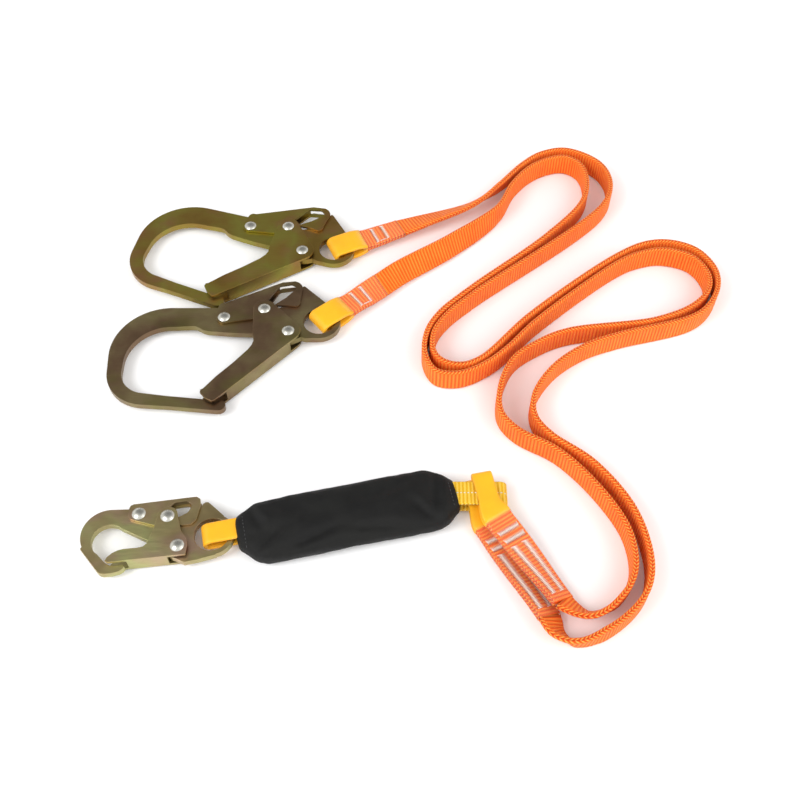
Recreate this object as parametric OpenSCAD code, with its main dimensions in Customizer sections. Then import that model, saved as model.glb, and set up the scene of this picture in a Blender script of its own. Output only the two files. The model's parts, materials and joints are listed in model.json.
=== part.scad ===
// Shock absorbing lanyard with two legs, laid out flat on a floor.
// One snap hook, a pouch with the energy absorber, two webbing legs and two large hooks.
// Millimetres, +Z up, floor at z = 0, origin under the middle of the hooks and the pouch.

/* [Hook plates] */
// Thickness of a hook body
body_t = 6.5; // [6:0.1:8]
// Thickness of a lock lever plate
lever_t = 2.2; // [1.8:0.1:2.4]
// Thickness of a gate plate
gate_t = 2.5; // [2:0.1:2.8]
// Gap between neighbouring plates
plate_gap = 0.3; // [0.2:0.05:0.4]
// Height of a rivet's domed head
head_h = 2.4; // [1.8:0.1:2.8]
// Radius of a rivet's domed head
head_r = 6; // [5:0.1:6.5]
// Radius of a rivet's shank and of the catch pin
pin_r = 3; // [2.6:0.1:3.4]
// Running clearance of a rivet in a moving plate, on the radius
pin_play = 0.06; // [0.02:0.01:0.1]

/* [Large hook] */
// Radius of the eye's hole
big_eye_r = 15.5; // [14:0.1:16]
// Outer radius of the eye's ring
big_ring_r = 21; // [20.5:0.1:22]
// Radius of the wide upper arc inside the bowl
big_bowl_r = 42; // [40:0.5:43]
// Radius of the tighter lower arc inside the bowl
big_toe_r = 26; // [24:0.5:27]

/* [Small hook] */
// Radius of the eye's hole
small_eye_r = 15.3; // [15:0.1:15.6]
// Outer radius of the eye's ring
small_ring_r = 19.5; // [19.3:0.1:20]
// Radius inside the bowl
small_bowl_r = 15; // [14:0.1:15.5]

/* [Webbing] */
// Width of the leg webbing
web_w = 25; // [23:0.5:26]
// Thickness of a free leg
web_t = 5; // [4:0.1:5.2]
// Thickness of one layer of webbing in a sewn end
layer_t = 2.4; // [2:0.1:2.4]
// Wall of a wear sleeve
sleeve_wall = 0.6; // [0.4:0.05:0.6]
// Wall of a shrink sleeve
shrink_wall = 0.4; // [0.3:0.05:0.5]
// Thickness of the stitching on a sewn end
stitch_t = 0.35; // [0.2:0.05:0.4]
// Width of the snap hook's loop
snap_loop_w = 18; // [16:0.5:20]

/* [Absorber pouch] */
// Length of the pouch
pouch_l = 196; // [190:1:198]
// Width of the pouch
pouch_w = 60; // [56:1:64]
// Height of the pouch
pouch_h = 28; // [26:1:32]
// Wall of the pouch
pouch_wall = 1.2; // [0.8:0.1:1.6]
// Direction of the pouch, in degrees from +X
pouch_angle = 12.4; // [11:0.1:14]

/* [Hidden] */

$fn = 48;

// Colours
steel_olive = [0.48, 0.46, 0.26];
steel_pale = [0.66, 0.64, 0.44];
bright_steel = [0.82, 0.82, 0.80];
orange = [1.0, 0.42, 0.08];
yellow = [0.96, 0.74, 0.14];
film = [1.0, 0.72, 0.45, 0.5];
white_thread = [0.92, 0.90, 0.86];
black_fabric = [0.10, 0.10, 0.11];

// Heights of the layers of a hook, measured from its middle plane
lever_in = body_t / 2 + plate_gap;
lever_out = lever_in + lever_t;
gate_in = lever_out + plate_gap;
gate_out = gate_in + gate_t;
hook_z = gate_out + head_h;

// Where each hook lies: its lever pivot, and its turn about +Z
hook_a_at = [-89.5, 205.5];
hook_a_turn = -16.4;
hook_b_at = [-105.8, 82.4];
hook_b_turn = 0;
snap_at = [-159, -137];
snap_turn = 0;

// Large hook: places in its own plane, from the lever pivot
big_catch = [39.5, 8.4];
big_pivot = [64.7, -19.3];
big_eye = [94, -4];
big_fold = [1.2, -101.6];
big_fold_angle = 45.7;
// Small hook: places in its own plane, from the lever pivot
small_catch = [25.9, -3.7];
small_pivot = [37.5, -31.8];
small_eye = [65, -18.8];
small_bowl = [-23, -25];
small_fold = [-19.4, -48.1];
small_fold_angle = 6.8;

// ---- Flat outlines ----
function turned(p, a) = [p[0] * cos(a) - p[1] * sin(a), p[0] * sin(a) + p[1] * cos(a)];
function along(p, a, d) = [p[0] + d * cos(a), p[1] + d * sin(a)];
function unit(v) = v / norm(v);
function xy(p) = [p[0], p[1]];
function arc(c, r, a0, a1, n) =
    [for (i = [0:n]) c + r * [cos(a0 + (a1 - a0) * i / n), sin(a0 + (a1 - a0) * i / n)]];
function near(a) = a > 180 ? a - 360 : (a < -180 ? a + 360 : a);
// One corner [x, y, radius] of an outline, rounded between its two neighbours
function corner(p0, p1, p2) =
    p1[2] == 0 ? [xy(p1)] :
    let (
        a = unit(xy(p0) - xy(p1)),
        b = unit(xy(p2) - xy(p1)),
        half = acos(a * b) / 2,
        c = xy(p1) + unit(a + b) * p1[2] / sin(half),
        s = xy(p1) + a * p1[2] / tan(half) - c,
        e = xy(p1) + b * p1[2] / tan(half) - c,
        a0 = atan2(s[1], s[0]),
        sweep = near(atan2(e[1], e[0]) - a0)
    ) arc(c, p1[2], a0, a0 + sweep, max(2, ceil(abs(sweep) / 15)));
function rounded(p) =
    let (n = len(p)) [for (i = [0:n - 1]) each corner(p[(i + n - 1) % n], p[i], p[(i + 1) % n])];

// Large hook's body, gate and lever
module big_body_shape() {
    polygon(concat(
        [[94, 16.9], [108.3, 11.4]],
        [[79.6, 39.4], [77.6, 41.2], [75.9, 41], [75, 38.6], [74.4, 30], [72.6, 22.4],
         [69.6, 17], [65, 14.4], [57, 12.8], [51, 10.8], [45, 7.4], [41.8, 5], [39.3, 4.2],
         [36.8, 4.6], [35, 6.4], [34, 11], [32, 13]],
        arc([-52.5, -42], 55, 90, 184, 20),
        arc([-66, -63.5], 40, 184, 267, 16),
        [[-43.9, -105.1], [1.3, -109.8]],
        arc([4.4, -103.6], 6.3, -95, 55, 9),
        [[-3, -101], [-9.3, -97.3], [-45.4, -93.5]],
        arc([-66, -64.5], big_toe_r, -104, -180, 12),
        arc([-50, -53], big_bowl_r, 180, 90, 16),
        [[-44, -10.8], [-30, -9.9], [-26, -10.6], [-19, -15], [-14, -16.4], [10, -18.6],
         [27.9, -19.2], [50, -22]],
        arc([64.7, -19.3], 9.5, -150, -60, 6),
        [[76.7, -23.7], [81.6, -25.1], [94, -25]]
    ));
    translate(big_eye) circle(r = big_ring_r);
}
module big_gate_shape() {
    polygon(concat(
        arc(big_catch, 11, 170, 42, 8),
        arc(big_pivot, 12, 25, -44, 6),
        [[72.5, -28.5], [1.2, -101.6]],
        [[-1.5, -103], [-8, -99.5], [-13.6, -93], [-13.4, -89.6], [-11, -88.4]],
        [[0, -74], [14.2, -58.5], [27.1, -42.6], [30.6, -36.5], [31.9, -31], [30.5, -24]]
    ));
}
module big_lever_shape() {
    polygon(concat(
        arc([0, 0], 7.8, 180, 270, 6),
        [[12, -5.4]],
        arc([27, 5], 8, -72, -40, 4),
        [[48, 14.2], [62, 14.4]],
        arc([68.5, 19], 6.2, -70, 20, 5),
        arc([66, 36], 10, 5, 80, 6),
        [[54.9, 44.2], [38.7, 36.5]],
        arc([-1.5, 12.5], 5, 75, 180, 6)
    ));
}
big_window = [[46, 12.6, 2], [60, 24.5, 4], [66.2, 31.8, 3], [71.6, 37, 3], [65, 42.2, 3],
              [52, 39.4, 5], [48, 32, 5], [42.6, 22, 4], [35.4, 13, 3.4], [35.6, 4.2, 3.2],
              [43.4, 4.6, 3]];

module small_body_shape() {
    polygon(concat(
        [[74, -1], [60.8, 11.1], [58.6, 12.6], [56.4, 12.6], [54.2, 10.6], [52, 3],
         [50, -3], [47, -6.6], [43, -8], [24, -8], [21.6, -7], [20.6, -4.6], [19.8, 2],
         [18, 4.6], [14, 5.4], [-9.9, 5.4]],
        arc([-23.5, -19.5], 24.5, 95, 208, 16),
        [[-46.2, -32.8], [-28, -54.2], [-25.8, -55.8], [-23, -56.4], [-16, -55.6],
         [-9.9, -53.8], [-7, -51.6], [-5.8, -49.2], [-7, -47.7], [-10, -47.7],
         [-16, -48.6], [-18.6, -48.2], [-23, -45.6]],
        arc(small_bowl, small_bowl_r - 0.4, 227, 66, 18),
        [[10.4, -24.9], [23, -29]],
        arc(small_pivot, 10, 195, 262, 5),
        [[40, -43.6], [43.9, -45.3], [54.4, -43], [70.2, -38.2]]
    ));
    translate(small_eye) circle(r = small_ring_r);
}
module small_gate_shape() {
    polygon(concat(
        arc(small_catch, 9, 180, 30, 9),
        [[39.3, -18.1], [44.2, -24.8], [46, -31], [45.4, -40.4]],
        [[-19.4, -48.1], [-22, -46.4], [-20.3, -43], [-16.5, -39.2], [-12, -36.6],
         [-7.3, -35.3], [4.4, -34.1], [8.6, -33], [11.4, -30], [12.4, -26.6], [15.9, -14.4]]
    ));
}
module small_lever_shape() {
    polygon([[-8.9, 5], [-8.9, -2], [-6.6, -5.4], [-2, -7], [14.5, -11.3], [40.4, -11.3],
             [46.9, -10.3], [50.4, -6], [51.6, -1], [53, 9], [52, 14.4], [48.9, 16.7],
             [46, 16.4], [-5.6, 9], [-8, 7.6]]);
}
small_window = [[24.4, -8, 3], [30, -6.4, 3], [42.6, 1, 3.4], [46, 8.4, 3.4], [41, 12.4, 3],
                [30, 10.6, 3], [23.6, 4, 3], [21.6, -3, 3]];

// ---- Hooks ----
module plate(h) { linear_extrude(height = 2 * h, center = true) children(); }
module bore(p, r) { translate([p[0], p[1], -20]) cylinder(r = r, h = 40); }
module placed(at, turn) { translate([at[0], at[1], hook_z]) rotate([0, 0, turn]) children(); }
module dome(z) {
    big_r = (head_r * head_r + head_h * head_h) / (2 * head_h);
    intersection() {
        translate([0, 0, z]) cylinder(r = head_r, h = head_h);
        translate([0, 0, z + head_h - big_r]) sphere(r = big_r);
    }
}
module rivet(p, inner) {
    translate([p[0], p[1], 0]) {
        cylinder(r = pin_r, h = 2 * inner, center = true);
        dome(inner);
        mirror([0, 0, 1]) dome(inner);
    }
}
module hook_body(big) {
    eye = big ? big_eye : small_eye;
    difference() {
        plate(body_t / 2) {
            if (big) big_body_shape();
            if (!big) small_body_shape();
        }
        bore(eye, big ? big_eye_r : small_eye_r);
        bore([0, 0], pin_r);
        bore(big ? big_pivot : small_pivot, pin_r);
        if (!big) bore(small_bowl, small_bowl_r);
    }
}
module hook_gate(big) {
    fold = big ? big_fold : small_fold;
    angle = big ? big_fold_angle : small_fold_angle;
    from = big ? 14 : 15.5;
    to = big ? 95 : 49.8;
    difference() {
        plate(gate_out) {
            if (big) big_gate_shape();
            if (!big) small_gate_shape();
        }
        plate(gate_in) {
            translate(fold) rotate(angle)
                polygon([[-40, -40], [from, -40], [from, gate_t], [to, gate_t], [to, -40],
                         [170, -40], [170, 120], [-40, 120]]);
        }
        bore(big ? big_pivot : small_pivot, pin_r + pin_play);
        bore(big ? big_catch : small_catch, pin_r);
    }
}
module hook_lever(big) {
    difference() {
        plate(lever_out) {
            if (big) big_lever_shape();
            if (!big) small_lever_shape();
        }
        plate(lever_in) {
            if (big)
                polygon([[-30, -30], [100, -30], [100, 60], [52, 60], [52, 40.2],
                         [38.7, 34], [2, 15.4], [2, 60], [-30, 60]]);
            if (!big)
                polygon([[-30, -30], [80, -30], [80, 40], [46, 40], [46, 14.05],
                         [-6, 6.6], [-6, 40], [-30, 40]]);
        }
        plate(20) polygon(rounded(big ? big_window : small_window));
        bore([0, 0], pin_r + pin_play);
    }
}

// ---- Solids swept along a row of rings ----
function row_points(rings) = [for (r = rings) each r];
function side_faces(m, n, from, flip) =
    [for (i = [0:m - 2]) for (j = [0:n - 1])
        let (a = from + i * n + j, b = from + i * n + (j + 1) % n, c = b + n, d = a + n)
        each (flip ? [[a, c, b], [a, d, c]] : [[a, b, c], [a, c, d]])];
module swept(rings) {
    m = len(rings);
    n = len(rings[0]);
    polyhedron(
        points = row_points(rings),
        faces = concat(
            side_faces(m, n, 0, false),
            [[for (j = [0:n - 1]) n - 1 - j]],
            [[for (j = [0:n - 1]) (m - 1) * n + j]]));
}
module swept_hollow(outer, inner) {
    m = len(outer);
    n = len(outer[0]);
    q = m * n;
    l = (m - 1) * n;
    polyhedron(
        points = concat(row_points(outer), row_points(inner)),
        faces = concat(
            side_faces(m, n, 0, false),
            side_faces(m, n, q, true),
            [for (j = [0:n - 1]) let (k = (j + 1) % n) each [[j, q + k, k], [j, q + j, q + k]]],
            [for (j = [0:n - 1]) let (k = (j + 1) % n)
                each [[l + j, l + k, q + l + k], [l + j, q + l + k, q + l + j]]]));
}
// A flat section with softened edges: middle, width and thickness directions, width, thickness
soft = [[-0.5, -0.2], [-0.47, -0.5], [-0.16, -0.5], [0.16, -0.5], [0.47, -0.5], [0.5, -0.2],
        [0.5, 0.2], [0.47, 0.5], [0.16, 0.5], [-0.16, 0.5], [-0.47, 0.5], [-0.5, 0.2]];
slim = [for (k = [0, 1, 4, 5, 6, 7, 10, 11]) soft[k]];
function flat_ring(p, w, n, b, t, shape = soft) =
    [for (q = shape) p + w * b * q[0] + n * t * q[1]];

// ---- Coil springs round the gate rivets ----
coil_wire = 1;
coil_r = 4.6;
coil_turns = 1.4;
coil_steps = 20;
function coil_ring(i) =
    let (
        a = 200 + 360 * coil_turns * min(i, coil_steps) / coil_steps,
        tail = max(0, i - coil_steps) * 4,
        z = body_t / 2 + 0.6 + 1.55 * min(i, coil_steps) / coil_steps,
        c = coil_r * [cos(a), sin(a), 0] + tail * [-sin(a), cos(a), 0] + [0, 0, z]
    ) [for (k = [0:7]) c + coil_wire / 2 * (sin(45 * k) * [0, 0, 1] + cos(45 * k) * [cos(a), sin(a), 0])];
module gate_spring(p) {
    translate([p[0], p[1], 0]) {
        swept([for (i = [0:coil_steps + 2]) coil_ring(i)]);
        mirror([0, 0, 1]) swept([for (i = [0:coil_steps + 2]) coil_ring(i)]);
    }
}
module lever_spring(x, y, l, h) {
    plate(2.5) polygon([[x, y], [x + l, y], [x + l, y + 0.7], [x + 5, y + 0.7],
                        [x + 3, y + 1], [x + 5, y + 1.3], [x + l * 0.7, y + h],
                        [x + l * 0.7, y + h + 0.7], [x + 4, y + 2], [x + 1, y + 1.4],
                        [x - 0.4, y + 0.8]]);
}

// ---- Sewn ends ----
eye_half = body_t / 2 + 0.5 + sleeve_wall + layer_t / 2;
link_half = layer_t / 2 + 0.5 + sleeve_wall + layer_t / 2;
ply_gap = 0.17;
closed_half = layer_t / 2 + ply_gap;
fold_back = 2;
leg_a_aim = 24.4;
leg_b_aim = 39;
leg_loop_low = 5.7;
leg_loop_high = 16.7;
eye_a = hook_a_at + turned(big_eye, hook_a_turn);
eye_b = hook_b_at + turned(big_eye, hook_b_turn);
eye_s = snap_at + turned(small_eye, snap_turn);

// A sewn end: 0 fold point, 1 its direction, 2 direction further on, 3 length, 4 far height,
// 5 far roll, 6 half gap at the fold, 7 open to, 8 closed from, 9 sleeve end, 10 width at the
// fold, 11 where the shrink sleeve starts
end_a_hook = [along(eye_a, leg_a_aim, -fold_back), leg_a_aim, leg_a_aim, 78, 11.5,
              -9, eye_half, 24, 42, 35, 25, 30, hook_z];
end_b_hook = [along(eye_b, leg_b_aim, -fold_back), leg_b_aim, leg_b_aim, 80, 11.5,
              28, eye_half, 24, 42, 35, 25, 30, hook_z];
end_a_pack = [[131, -100], -75, -62.2, 143.9, 11.6, -33, link_half, 37, 54, 46, 17, 45,
              leg_loop_low];
end_b_pack = [[140, -98], -78, -56.7, 136.6, 14, -33, link_half, 37, 54, 46, 17, 45,
              leg_loop_high];

function smooth(t) = let (q = max(0, min(1, t))) q * q * (3 - 2 * q);
function mix(a, b, t) = a + (b - a) * t;
function total(v) = v * [for (q = v) 1];
function way(e, u) = mix(e[1], e[2], smooth((u - 26) / 20));
function spine(e, u) =
    let (n = max(1, ceil(abs(u) / 4)), h = u / n)
    [e[0][0] + h * total([for (i = [0:n - 1]) cos(way(e, (i + 0.5) * h))]),
     e[0][1] + h * total([for (i = [0:n - 1]) sin(way(e, (i + 0.5) * h))]),
     mix(e[12], e[4], smooth((u - e[8]) / (e[3] - e[8])))];
function roll(e, u) = e[5] * smooth((u - e[8]) / (e[3] - e[8]));
function ahead(e, u) = [cos(way(e, u)), sin(way(e, u)), 0];
function leftward(e, u) = [-sin(way(e, u)), cos(way(e, u)), 0];
function across(e, u) = cos(roll(e, u)) * leftward(e, u) + [0, 0, sin(roll(e, u))];
function upward(e, u) = [0, 0, cos(roll(e, u))] - sin(roll(e, u)) * leftward(e, u);
function half_gap(e, u) = mix(closed_half, e[6], smooth((e[8] - u) / (e[8] - e[7])));
function width_at(e, u) = mix(e[10], web_w, smooth((u - e[7] + 12) / 20));
// Stations of a layer: down the lower strand, round the fold, back along the upper strand
function out_to(e, far) = concat(
    [e[6] + 1, mix(e[6] + 1, e[7], 0.5)],
    [for (i = [0:5]) let (u = mix(e[7], e[8], i / 6)) if (u < far - 0.5) u],
    [for (i = [0:11]) let (u = mix(e[8], e[3], i / 12)) if (u < far - 0.5) u],
    [far]);
function stations(e, far) =
    let (us = out_to(e, far), n = len(us) - 1)
    concat([for (i = [0:n]) [us[n - i], -90]],
           [for (a = [-72:24:72]) [e[6] * (1 - cos(a)), a]],
           [for (u = us) [u, 90]]);
function layer_ring(e, s, extra, b) =
    let (
        u = s[0],
        h = abs(s[1]) == 90 ? half_gap(e, u) : e[6],
        out = -cos(s[1]) * ahead(e, u) + sin(s[1]) * upward(e, u)
    ) flat_ring(spine(e, u) + sin(s[1]) * h * upward(e, u), across(e, u), out,
                width_at(e, u) + 2 * extra + b, layer_t + 2 * extra);
module layer(e) { swept([for (s = stations(e, e[3])) layer_ring(e, s, 0, 0)]); }
module wear_sleeve(e) {
    st = stations(e, e[9]);
    swept_hollow([for (s = st) layer_ring(e, s, sleeve_wall, 0)],
                 [for (s = st) layer_ring(e, s, 0.15, 0)]);
}
// The shrink sleeve closes over both layers and over the end of the wear sleeve
function shrink_thick(e, u) =
    2 * (half_gap(e, u) + layer_t / 2 + stitch_t + 2 * ply_gap + 0.12
         + (sleeve_wall + 0.1) * smooth((e[9] + 8 - u) / 6));
function shrink_ring(e, u, wall) =
    flat_ring(spine(e, u), across(e, u), upward(e, u),
              width_at(e, u) + 2 * sleeve_wall + 0.4 + 1.2 * smooth((e[9] + 8 - u) / 6) + 2 * wall,
              shrink_thick(e, u) + 2 * wall);
module shrink_sleeve(e) {
    far = e[3] - 1;
    us = concat([e[11], mix(e[11], e[9] + 8, 0.35), mix(e[11], e[9] + 8, 0.7), e[9] + 8],
                [for (i = [1:7]) mix(e[9] + 8, far, i / 7)]);
    swept_hollow([for (u = us) shrink_ring(e, u, shrink_wall)],
                 [for (u = us) shrink_ring(e, u, 0)]);
}
// Rows of stitching, standing a little above both faces of the sewn layers
module stitch_bar(e, u0, u1, v0, v1) {
    for (side = [-1, 1])
        swept([for (n = ceil((u1 - u0) / 6), i = [0:n]) let (u = mix(u0, u1, i / n))
            flat_ring(spine(e, u) + side * (half_gap(e, u) + layer_t / 2 + ply_gap + stitch_t / 2)
                      * upward(e, u) + (v0 + v1) / 2 * across(e, u),
                      across(e, u), upward(e, u), v1 - v0, stitch_t)]);
}

// ---- Free legs, standing on edge on the floor ----
// Each point: x, y, height of the middle, lean (0 flat, 90 on edge, 180 flat, turned over)
leg_a_route = [
    [89, 215, 12, 160], [142, 238, 13, 135], [172, 263, 13, 112], [200, 291, 13, 97],
    [222, 307, 13, 90], [248, 314, 13, 90], [272, 305, 13, 90], [289, 288, 13, 90],
    [295, 262, 13, 90], [283, 229, 13, 90], [139, 105, 13, 90], [113, 79, 13, 90],
    [101, 58, 13, 90], [100, 36, 13, 90], [108, 24, 13, 90], [125, 19, 13, 90],
    [144, 26, 13, 90], [196, 80, 13, 90], [291, 158, 13, 90], [322, 174, 13, 90],
    [346, 176, 13, 90], [372, 165, 13, 90], [387, 139, 13, 90], [386, 116, 13, 90],
    [373, 92, 13, 90], [354, 77, 13, 90], [279, 55, 13, 90], [245, 41, 13, 90],
    [213, 16, 13, 90], [193, -16, 13, 90], [192, -39, 13, 90], [204, -58, 13, 90],
    [241, -89, 13, 90], [270, -134, 13, 90], [279, -178, 13, 90], [275, -205, 13, 90],
    [262, -225, 13, 90], [234, -246, 13, 90], [210, -253, 13, 75], [196, -244, 12, 50]
];
leg_b_route = [
    [67, 143, 12, 38], [122, 181, 13, 62], [172, 226, 13, 88], [190, 262, 13, 90],
    [210, 286, 13, 90], [231, 299, 13, 90], [250, 302, 13, 90], [265, 291, 13, 90],
    [270, 266, 13, 90], [262, 235, 13, 90], [220, 185, 13, 90], [139, 114, 13, 90],
    [106, 81, 13, 90], [94, 58, 13, 90], [92, 32, 13, 90], [102, 12, 13, 90],
    [124, 9, 13, 90], [150, 21, 13, 90], [172, 40, 13, 90], [200, 71, 13, 90],
    [289, 147, 13, 90], [313, 160, 13, 90], [339, 165, 13, 90], [367, 155, 13, 90],
    [379, 132, 13, 90], [376, 112, 13, 90], [358, 92, 13, 90], [319, 74, 13, 90],
    [231, 60, 13, 90], [201, 46, 13, 90], [176, 26, 13, 90], [162, -6, 13, 90],
    [161, -34, 13, 90], [174, -53, 13, 90], [211, -77, 13, 90], [245, -118, 13, 90],
    [264, -158, 13, 90], [264, -194, 13, 90], [248, -218, 13, 85], [224, -229, 13, 62]
];
function tip(e, lean, d) = concat(spine(e, e[3] + d), [lean]);
function full_route(r, e0, lean0, e1) =
    concat([tip(e0, lean0, 0.3), tip(e0, lean0, 6)], r,
           [tip(e1, -e1[5], 6), tip(e1, -e1[5], 0.3)]);
leg_a_full = full_route(leg_a_route, end_a_hook, 180 + end_a_hook[5], end_a_pack);
leg_b_full = full_route(leg_b_route, end_b_hook, end_b_hook[5], end_b_pack);
function xyz(p) = [p[0], p[1], p[2]];
function leg_ring(r, i) =
    let (
        n = len(r) - 1,
        a = xyz(r[max(0, i - 1)]),
        p = xyz(r[i]),
        b = xyz(r[min(n, i + 1)]),
        t0 = i > 0 ? unit(p - a) : unit(b - p),
        t1 = i < n ? unit(b - p) : t0,
        t = unit(t0 + t1),
        left = unit([-t[1], t[0], 0]),
        w = unit(cos(r[i][3]) * left + [0, 0, sin(r[i][3])]),
        up = unit(cross(t, w))
    ) flat_ring(p, w, up, web_w, web_t, slim);
module leg(r) { swept([for (i = [0:len(r) - 1]) leg_ring(r, i)]); }

// ---- The pouch and what it holds, in its own frame: x along it, z up from the floor ----
pouch_at = [23, -138];
module in_pouch() { translate([pouch_at[0], pouch_at[1], 0]) rotate([0, 0, pouch_angle]) children(); }
// Half width, half height, middle height and sideways shift of the pouch, along its length
pouch_rows = [[-1, 14.8, 10, 11, 4.2], [-0.97, 15.4, 10, 11, 4.2], [-0.8, 29, 12, 12.4, 0.8],
              [-0.7, 30, 13.4, 13.8, 0], [-0.3, 30, 14, 14.3, 0], [0.3, 30, 14, 14.3, 0],
              [0.7, 30, 13.4, 13.8, 0], [0.8, 29, 12, 12.4, 0], [0.97, 15.4, 10, 11, 0],
              [1, 14.8, 10, 11, 0]];
function pouch_ring(p, inset) =
    [for (k = [0:23])
        let (
            a = 15 * k + 7.5,
            c = cos(a),
            s = sin(a),
            b = (p[1] * pouch_w / 60 - inset),
            h = (p[2] * pouch_h / 28 - inset)
        ) [p[0] * pouch_l / 2, p[4] + b * sign(c) * pow(abs(c), 0.32),
           p[3] * pouch_h / 28 + h * sign(s) * pow(abs(s), 0.32)]];
module pouch_cover() {
    in_pouch() swept_hollow([for (p = pouch_rows) pouch_ring(p, 0)],
                            [for (p = pouch_rows) pouch_ring(p, pouch_wall)]);
}
// A band laid along a row of [x, z] points in the pouch's frame, about the line y
function lane_ring(p, i, y, b, t) =
    let (
        n = len(p) - 1,
        a = p[max(0, i - 1)],
        c = p[min(n, i + 1)],
        d = unit(c - a)
    ) flat_ring([p[i][0], y, p[i][1]], [0, 1, 0], [-d[1], 0, d[0]], b, t);
module lane(p, y, b, t) { swept([for (i = [0:len(p) - 1]) lane_ring(p, i, y, b, t)]); }
tear_layers = 5;
tear_gap = 3.1;
tear_x = 58;
function tear_z(k) = 5 + k * tear_gap;
tear_path = [for (k = [0:tear_layers - 1]) let (d = k % 2 == 0 ? 1 : -1)
    each [[-tear_x * d, tear_z(k)], [0, tear_z(k)], [tear_x * d, tear_z(k)],
          each (k < tear_layers - 1
                ? [for (a = [-45:45:45]) [(tear_x + cos(a) * tear_gap / 2) * 1 * d,
                                          tear_z(k) + tear_gap / 2 + sin(a) * tear_gap / 2]]
                : [])]];
strap_path = [[-60, 21.3], [-54, 21.3], [-46, 22], [46, 22], [54, 21.3], [60, 21.3]];

// The snap hook's loop: a fold round the eye, both ends sewn inside the pouch
end_snap = [along(eye_s, pouch_angle, 7 - 14), pouch_angle, pouch_angle, 44, hook_z, 0,
            eye_half, 30, 60, 34, snap_loop_w, 60, hook_z];
function snap_stations(far) = concat(
    [[far, -90], [far * 0.6, -90], [e_snap_in, -90]],
    [for (a = [-72:24:72]) [eye_half * (1 - cos(a)), a]],
    [[e_snap_in, 90], [far * 0.6, 90], [far, 90]]);
e_snap_in = eye_half + 1;
function snap_ring(s, extra) =
    let (
        e = end_snap,
        out = -cos(s[1]) * ahead(e, 0) + sin(s[1]) * [0, 0, 1]
    ) flat_ring(spine(e, s[0]) + [0, 0, sin(s[1]) * eye_half], leftward(e, 0), out,
                snap_loop_w + 2 * extra, layer_t + 2 * extra);

// The loop that carries both legs
leg_loop_w = 23;
leg_loop_from = [98, -117];
leg_loop_bend = 156;
leg_loop_mid = (leg_loop_low + leg_loop_high) / 2;
leg_loop_half = (leg_loop_high - leg_loop_low) / 2;
leg_loop_path = concat(
    [[leg_loop_from[0], leg_loop_low], [125, leg_loop_low], [leg_loop_bend, leg_loop_low]],
    [for (a = [-72:24:72]) [leg_loop_bend + leg_loop_half * cos(a),
                            leg_loop_mid + leg_loop_half * sin(a)]],
    [[leg_loop_bend, leg_loop_high], [125, leg_loop_high], [leg_loop_from[0], leg_loop_high]]);

// ---- Nodes ----
module big_node(at, turn, name) {
    placed(at, turn) {
        if (name == "body") color(steel_olive) hook_body(true);
        if (name == "gate") color(steel_olive) hook_gate(true);
        if (name == "lever") color(steel_olive) hook_lever(true);
        if (name == "gate_rivet") color(bright_steel) rivet(big_pivot, gate_out);
        if (name == "lever_rivet") color(bright_steel) rivet([0, 0], lever_out);
        if (name == "catch_pin") color(bright_steel) rivet(big_catch, gate_out);
        if (name == "gate_spring") color(bright_steel) gate_spring(big_pivot);
        if (name == "lever_spring") color(bright_steel) lever_spring(4, 13, 20, 3.4);
    }
}
module small_node(name) {
    placed(snap_at, snap_turn) {
        if (name == "body") color(steel_pale) hook_body(false);
        if (name == "gate") color(steel_pale) hook_gate(false);
        if (name == "lever") color(steel_pale) hook_lever(false);
        if (name == "gate_rivet") color(bright_steel) rivet(small_pivot, gate_out);
        if (name == "lever_rivet") color(bright_steel) rivet([0, 0], lever_out);
        if (name == "catch_pin") color(bright_steel) rivet(small_catch, gate_out);
        if (name == "gate_spring") color(bright_steel) gate_spring(small_pivot);
    }
}
module hook_stitching(e) {
    stitch_bar(e, 46, 50, -10, 10);
    stitch_bar(e, 57.5, 61.5, -10, 10);
    stitch_bar(e, 50.5, 57, -10, -9);
}
module pack_stitching(e) {
    stitch_bar(e, 58, 63.5, -10, 10);
    stitch_bar(e, 66.5, 72, -10, 10);
    stitch_bar(e, 76, e[3] - 8, -9.6, -2.8);
    stitch_bar(e, 76, e[3] - 8, 2, 8.8);
}
module snap_hook_body() {
    small_node("body");
}
module snap_hook_gate() {
    small_node("gate");
}
module snap_hook_lock_lever() {
    small_node("lever");
}
module snap_hook_gate_rivet() {
    small_node("gate_rivet");
}
module snap_hook_lever_rivet() {
    small_node("lever_rivet");
}
module snap_hook_catch_pin() {
    small_node("catch_pin");
}
module snap_hook_gate_spring() {
    small_node("gate_spring");
}
module hook_a_body() {
    big_node(hook_a_at, hook_a_turn, "body");
}
module hook_a_gate() {
    big_node(hook_a_at, hook_a_turn, "gate");
}
module hook_a_lock_lever() {
    big_node(hook_a_at, hook_a_turn, "lever");
}
module hook_a_gate_rivet() {
    big_node(hook_a_at, hook_a_turn, "gate_rivet");
}
module hook_a_lever_rivet() {
    big_node(hook_a_at, hook_a_turn, "lever_rivet");
}
module hook_a_catch_pin() {
    big_node(hook_a_at, hook_a_turn, "catch_pin");
}
module hook_a_gate_spring() {
    big_node(hook_a_at, hook_a_turn, "gate_spring");
}
module hook_a_lever_spring() {
    big_node(hook_a_at, hook_a_turn, "lever_spring");
}
module hook_b_body() {
    big_node(hook_b_at, hook_b_turn, "body");
}
module hook_b_gate() {
    big_node(hook_b_at, hook_b_turn, "gate");
}
module hook_b_lock_lever() {
    big_node(hook_b_at, hook_b_turn, "lever");
}
module hook_b_gate_rivet() {
    big_node(hook_b_at, hook_b_turn, "gate_rivet");
}
module hook_b_lever_rivet() {
    big_node(hook_b_at, hook_b_turn, "lever_rivet");
}
module hook_b_catch_pin() {
    big_node(hook_b_at, hook_b_turn, "catch_pin");
}
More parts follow.
